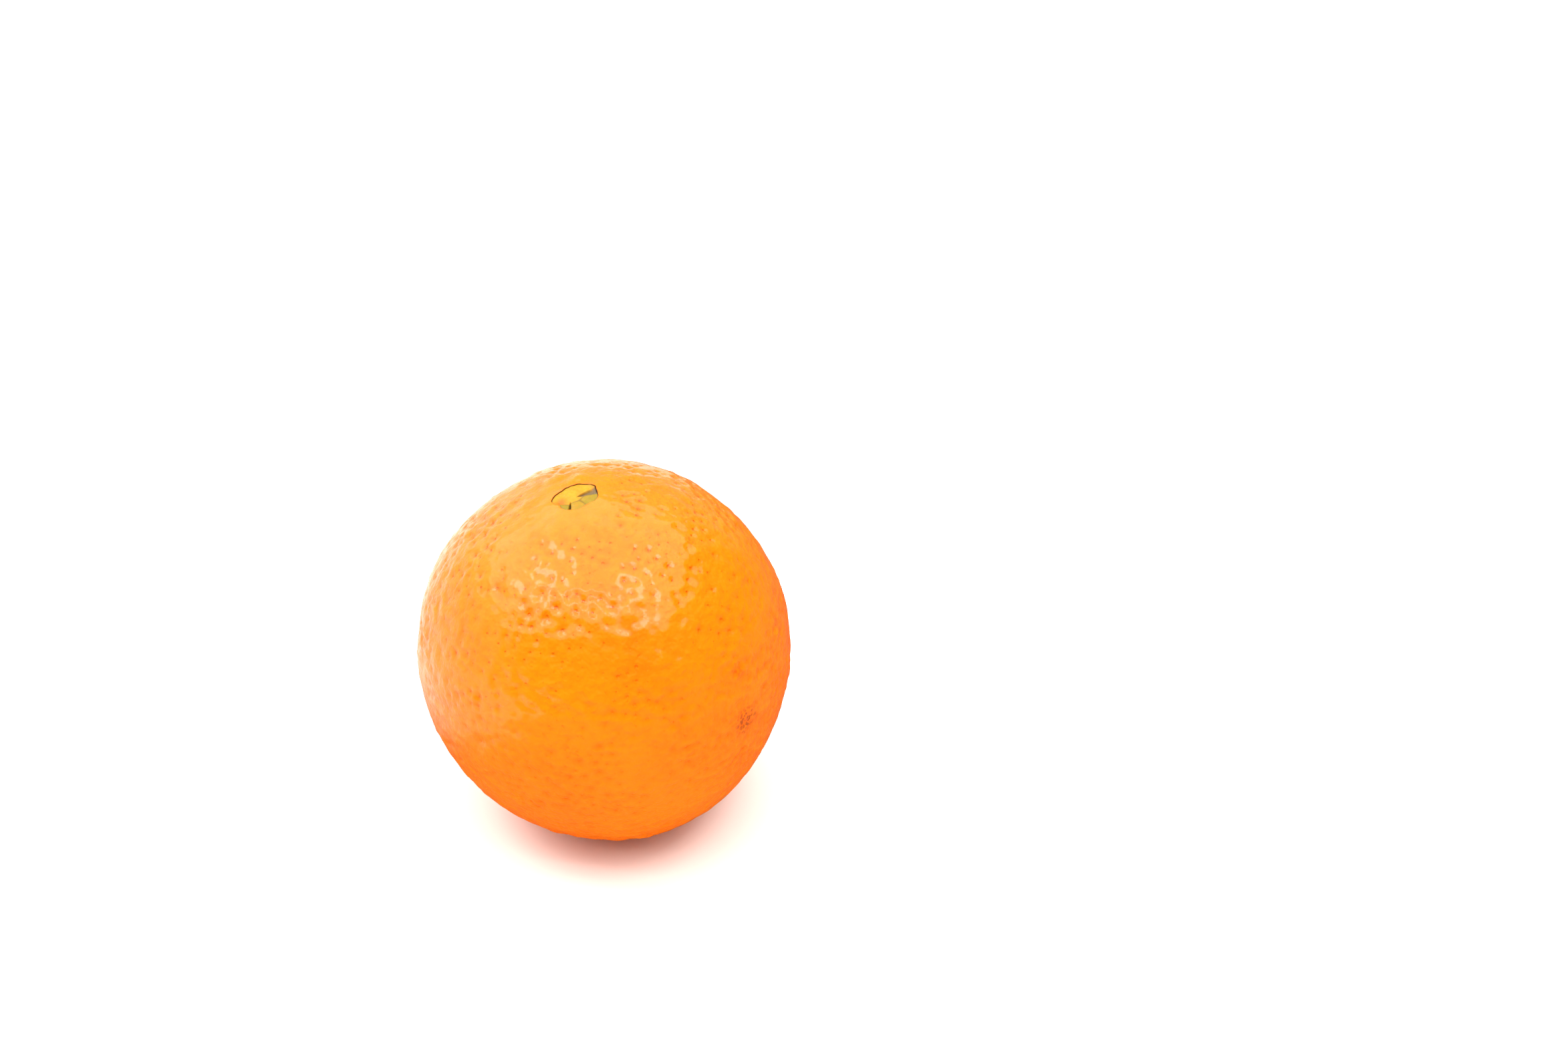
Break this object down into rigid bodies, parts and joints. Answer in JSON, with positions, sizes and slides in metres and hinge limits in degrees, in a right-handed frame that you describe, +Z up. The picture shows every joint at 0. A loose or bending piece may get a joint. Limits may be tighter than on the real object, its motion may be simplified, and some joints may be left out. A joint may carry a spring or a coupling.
{
  "type": "orange",
  "caption": "Whole fresh orange, nearly round, with a navel opening on top and a dried stem button underneath, resting on a small flat spot.",
  "frame": {"origin": "on the surface that the orange rests on, under the middle of its overall box", "axes": "+Z up, out of the resting spot; -Y towards the front, where the navel leans slightly; -X towards the side that the navel leans to and +X towards the side that the stem end leans to"},
  "size_m": [0.076, 0.0762, 0.0778],
  "materials": {
    "peel": "waxy orange rind, pitted with fine oil pores, satin with soft glints",
    "dry_stem": "dry, dull, brownish green",
    "fruitlet": "smooth, moist yellow to yellow-green lobes, satin"
  },
  "bodies": {
    "root": {"fruit": "peel", "stem_button": "dry_stem"}
  },
  "joints": []
}
